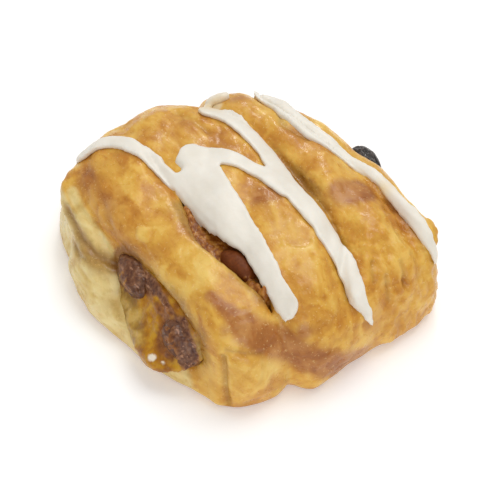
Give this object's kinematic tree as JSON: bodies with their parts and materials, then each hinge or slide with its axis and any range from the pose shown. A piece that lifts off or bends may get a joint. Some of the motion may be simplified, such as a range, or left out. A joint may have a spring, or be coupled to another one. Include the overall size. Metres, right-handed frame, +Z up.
{
  "type": "danish pastry",
  "caption": "Baked danish pastry: a folded parcel of flaky dough round a custard and raisin filling, open at both ends and in a slit on top, striped with white icing.",
  "frame": {"origin": "middle of the bounding box on the plane the pastry rests on", "axes": "+Z up, +Y to the back along the dough ridges, +X across the ridges, from the wide open end of the fold to the far end"},
  "size_m": [0.0924, 0.1013, 0.0356],
  "materials": {
    "dough": "golden baked laminated dough, glazed",
    "filling": "wet baked custard with raisin juice",
    "raisin": "wrinkled dark raisin skin, moist",
    "icing": "set white sugar icing, satin"
  },
  "bodies": {
    "root": {"dough": "dough", "filling": "filling", "raisin_slit": "raisin", "raisin_end_upper": "raisin", "raisin_end_lower": "raisin", "raisin_right": "raisin", "icing_main": "icing", "icing_right": "icing"}
  },
  "joints": []
}
